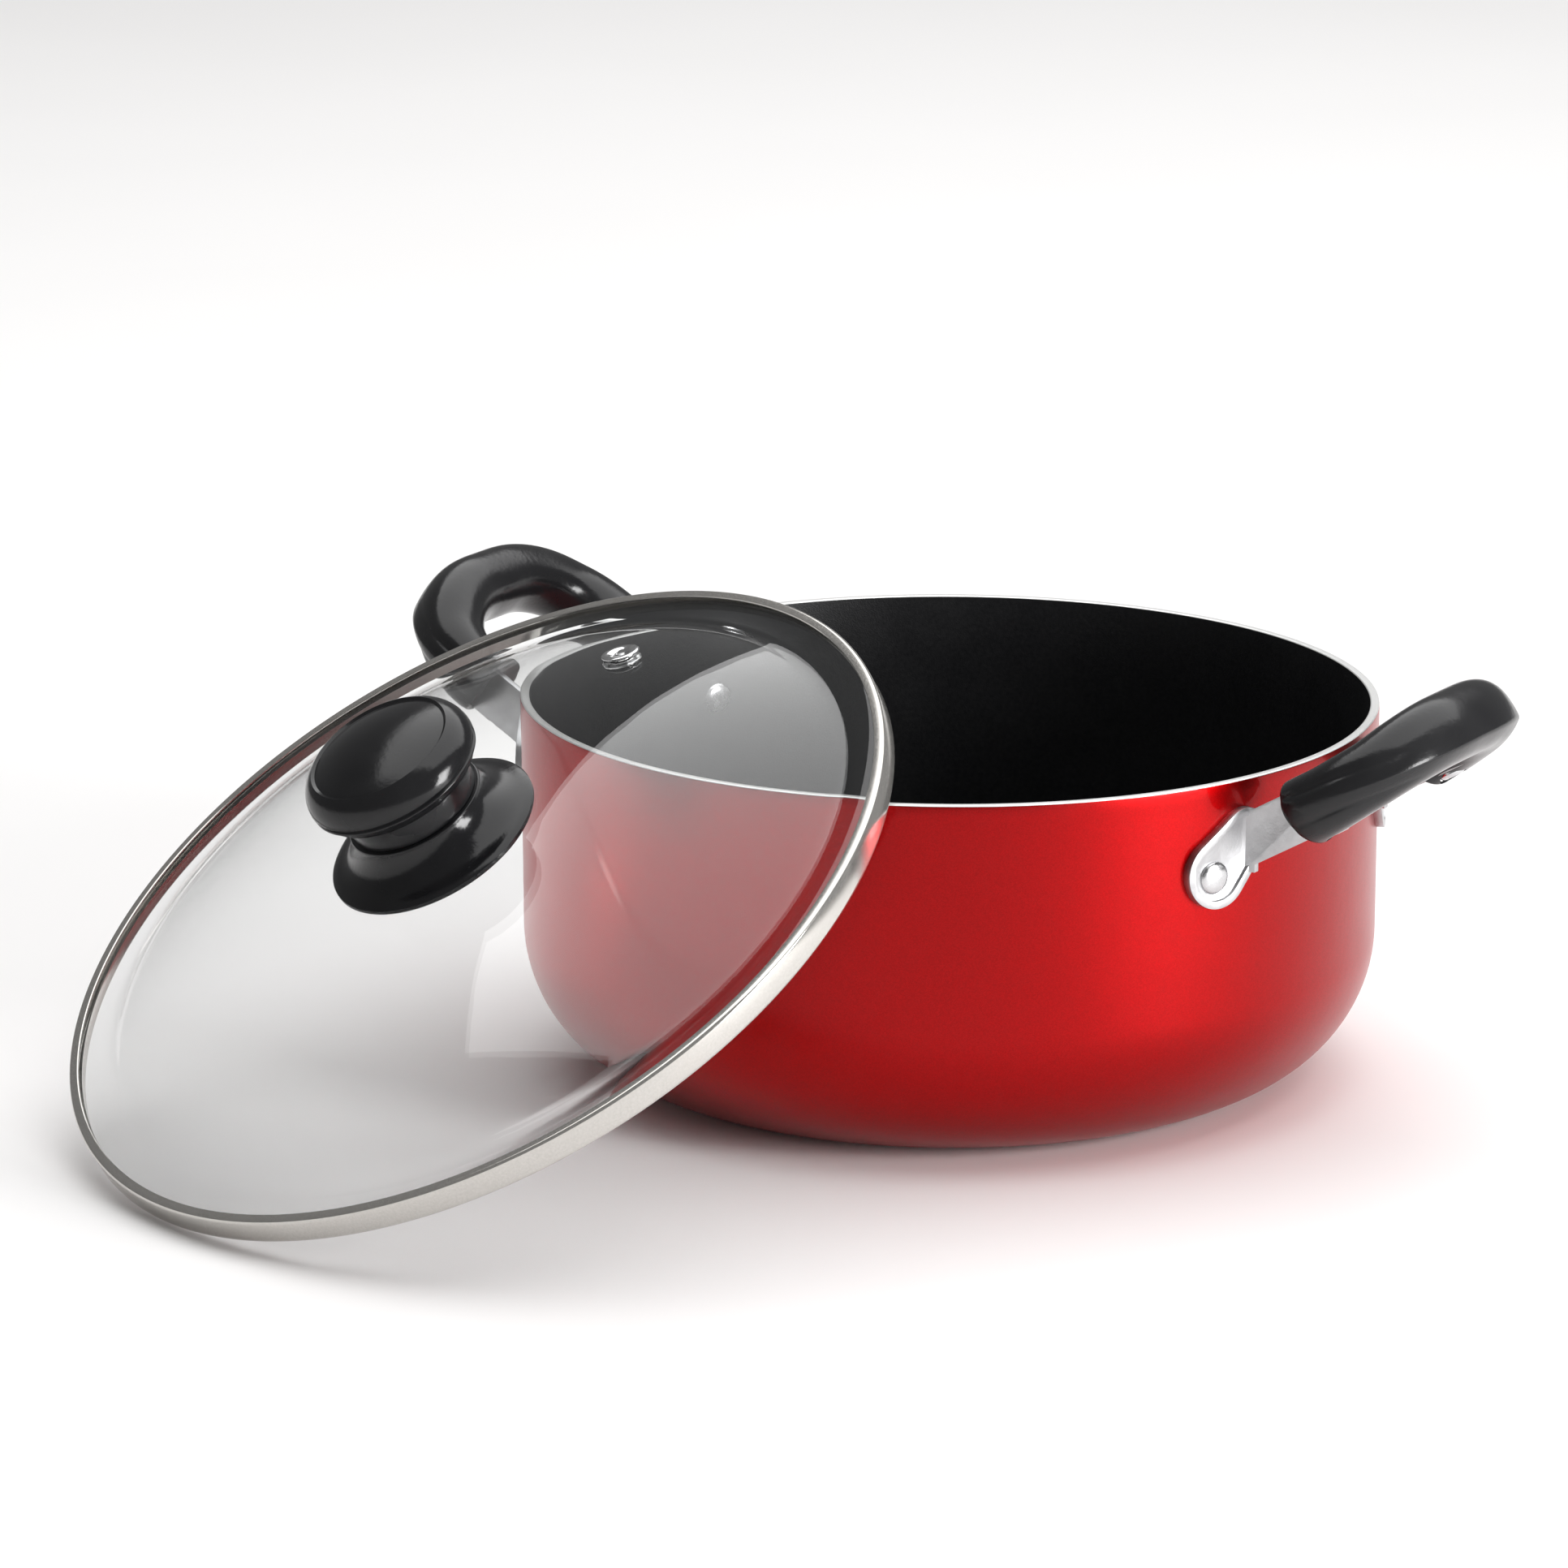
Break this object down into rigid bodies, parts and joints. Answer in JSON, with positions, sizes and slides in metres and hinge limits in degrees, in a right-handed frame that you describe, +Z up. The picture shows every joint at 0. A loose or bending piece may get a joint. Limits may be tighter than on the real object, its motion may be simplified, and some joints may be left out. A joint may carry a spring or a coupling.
{
  "type": "casserole pot with leaning glass lid",
  "caption": "Two-handled non-stick casserole pot with its domed glass lid leaning on the rim, one edge of the lid on the ground.",
  "frame": {"origin": "centre of the pot's base face, on the ground", "axes": "+Z up along the pot's axis, +X towards the right handle, -Y towards the front where the lid leans"},
  "size_m": [0.3569, 0.3756, 0.1412],
  "materials": {
    "red_enamel": "glossy clear-coated metallic red outside",
    "phenolic": "glossy moulded black",
    "knob_phenolic": "glossy moulded black",
    "cast_aluminium": "satin",
    "rivet_aluminium": "satin",
    "screw_steel": "bright zinc-plated",
    "lid_glass": "polished clear",
    "band_steel": "bright",
    "vent_steel": "bright",
    "insert_brass": "machined",
    "gasket_silicone": "matt"
  },
  "bodies": {
    "pot": {"pot_body": "red_enamel", "handle_right": "phenolic", "handle_left": "phenolic", "bracket_right_front": "cast_aluminium", "bracket_right_back": "cast_aluminium", "bracket_left_front": "cast_aluminium", "bracket_left_back": "cast_aluminium", "rivet_right_front": "rivet_aluminium", "rivet_right_back": "rivet_aluminium", "rivet_left_front": "rivet_aluminium", "rivet_left_back": "rivet_aluminium", "handle_screw_right_front": "screw_steel", "handle_screw_right_back": "screw_steel", "handle_screw_left_front": "screw_steel", "handle_screw_left_back": "screw_steel"},
    "lid": {"lid_glass": "lid_glass", "lid_band": "band_steel", "steam_vent": "vent_steel", "knob_head": "knob_phenolic", "knob_base": "knob_phenolic", "knob_insert": "insert_brass", "knob_gasket": "gasket_silicone", "glass_gasket": "gasket_silicone", "steel_washer": "screw_steel", "knob_screw": "screw_steel"}
  },
  "joints": [
    {"name": "lid_lift", "type": "slide", "parent": "pot", "child": "lid", "axis": [-0.201, -0.4999, 0.8425], "range_m": [0, 0.15]}
  ]
}
